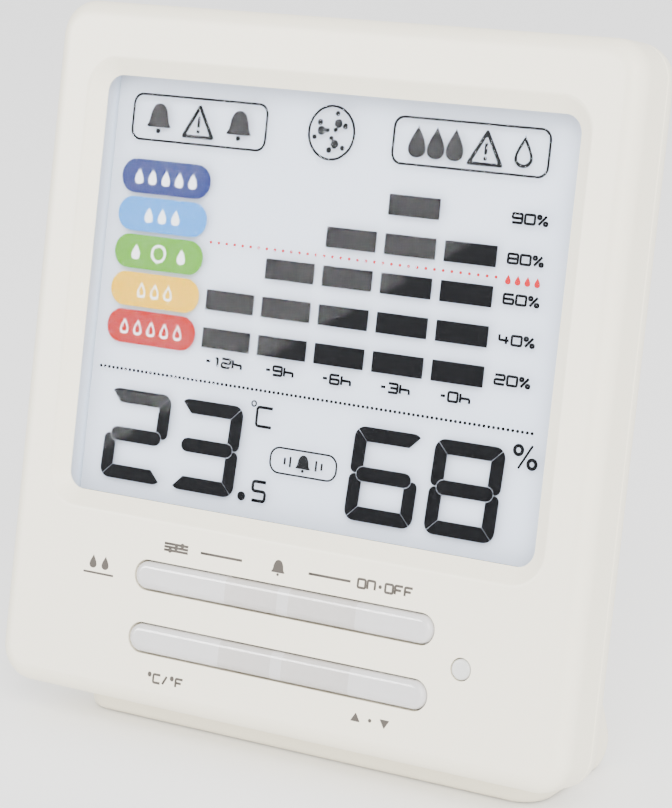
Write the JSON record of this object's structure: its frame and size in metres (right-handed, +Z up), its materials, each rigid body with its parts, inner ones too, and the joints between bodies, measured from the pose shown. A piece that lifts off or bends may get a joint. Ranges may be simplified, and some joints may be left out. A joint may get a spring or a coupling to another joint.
{
  "type": "digital thermo-hygrometer",
  "caption": "Desk thermo-hygrometer: a leaning moulded case with a wide display, clear rocker keys, an alarm lamp, a battery box with a sliding door, and a keyhole for a wall screw.",
  "frame": {"origin": "centre of the bounding box at the level that the foot stands on", "axes": "+X to the right of someone reading the display, +Y to the rear, +Z up"},
  "size_m": [0.092, 0.0294, 0.1005],
  "materials": {
    "case_plastic": "fine satin moulded ivory",
    "clear_plastic": "clear, polished",
    "milky_plastic": "milky diffusing",
    "glass": "polished",
    "display_sheet": "pale reflector sheet",
    "frame_plastic": "moulded white",
    "black_rubber": "striped conductive strip",
    "circuit_board": "solder-masked board",
    "steel": "zinc-plated",
    "nickel": "nickel-plated spring steel",
    "black_plastic": "moulded black",
    "white_sensor": "vented sensor cap",
    "epoxy": "black epoxy",
    "crystal_can": "drawn can",
    "brass": "rolled sheet",
    "ceramic": "fired ceramic, silvered",
    "cell_wrap": "coated wrap"
  },
  "bodies": {
    "case": {"front_shell": "case_plastic", "back_shell": "case_plastic", "switch_bodies": "black_plastic", "alarm_led": "milky_plastic", "led_leads": "steel", "window_pane": "clear_plastic", "lcd_front_glass": "glass", "lcd_rear_glass": "glass", "lcd_backing": "display_sheet", "lcd_frame": "frame_plastic", "zebra_strip": "black_rubber", "main_board": "circuit_board", "board_screws": "steel", "case_screws": "steel", "humidity_sensor": "white_sensor", "thermistor": "epoxy", "chip_blob": "epoxy", "clock_crystal": "crystal_can", "sounder_plate": "brass", "sounder_ceramic": "ceramic", "cell_lower": "cell_wrap", "cell_upper": "cell_wrap", "contact_springs": "nickel", "contact_bridge": "nickel", "contact_negative": "nickel", "contact_positive": "nickel"},
    "upper_key": {"upper_key": "clear_plastic"},
    "lower_key": {"lower_key": "clear_plastic"},
    "battery_door": {"battery_door": "case_plastic"},
    "stem_upper_left": {"switch_stem_upper_left": "black_plastic"},
    "stem_upper_right": {"switch_stem_upper_right": "black_plastic"},
    "stem_lower_left": {"switch_stem_lower_left": "black_plastic"},
    "stem_lower_right": {"switch_stem_lower_right": "black_plastic"}
  },
  "joints": [
    {"name": "upper_key_rock", "type": "hinge", "parent": "case", "child": "upper_key", "pos_m": [0.0008, -0.00847, 0.02323], "axis": [0, 0.1959, 0.9806], "range_deg": [-1, 1], "stiffness_Nm_per_rad": 1.65},
    {"name": "lower_key_rock", "type": "hinge", "parent": "case", "child": "lower_key", "pos_m": [0.0008, -0.01019, 0.01465], "axis": [0, 0.1959, 0.9806], "range_deg": [-1, 1], "stiffness_Nm_per_rad": 1.65},
    {"name": "battery_door_slide", "type": "slide", "parent": "case", "child": "battery_door", "axis": [0, 0.1959, 0.9806], "range_m": [0, 0.024]},
    {"name": "stem_upper_left_press", "type": "slide", "parent": "case", "child": "stem_upper_left", "axis": [0, 0.9806, -0.1959], "range_m": [0, 0.00025], "stiffness_N_per_m": 6400},
    {"name": "stem_upper_right_press", "type": "slide", "parent": "case", "child": "stem_upper_right", "axis": [0, 0.9806, -0.1959], "range_m": [0, 0.00025], "stiffness_N_per_m": 6400},
    {"name": "stem_lower_left_press", "type": "slide", "parent": "case", "child": "stem_lower_left", "axis": [0, 0.9806, -0.1959], "range_m": [0, 0.00025], "stiffness_N_per_m": 6400},
    {"name": "stem_lower_right_press", "type": "slide", "parent": "case", "child": "stem_lower_right", "axis": [0, 0.9806, -0.1959], "range_m": [0, 0.00025], "stiffness_N_per_m": 6400}
  ]
}
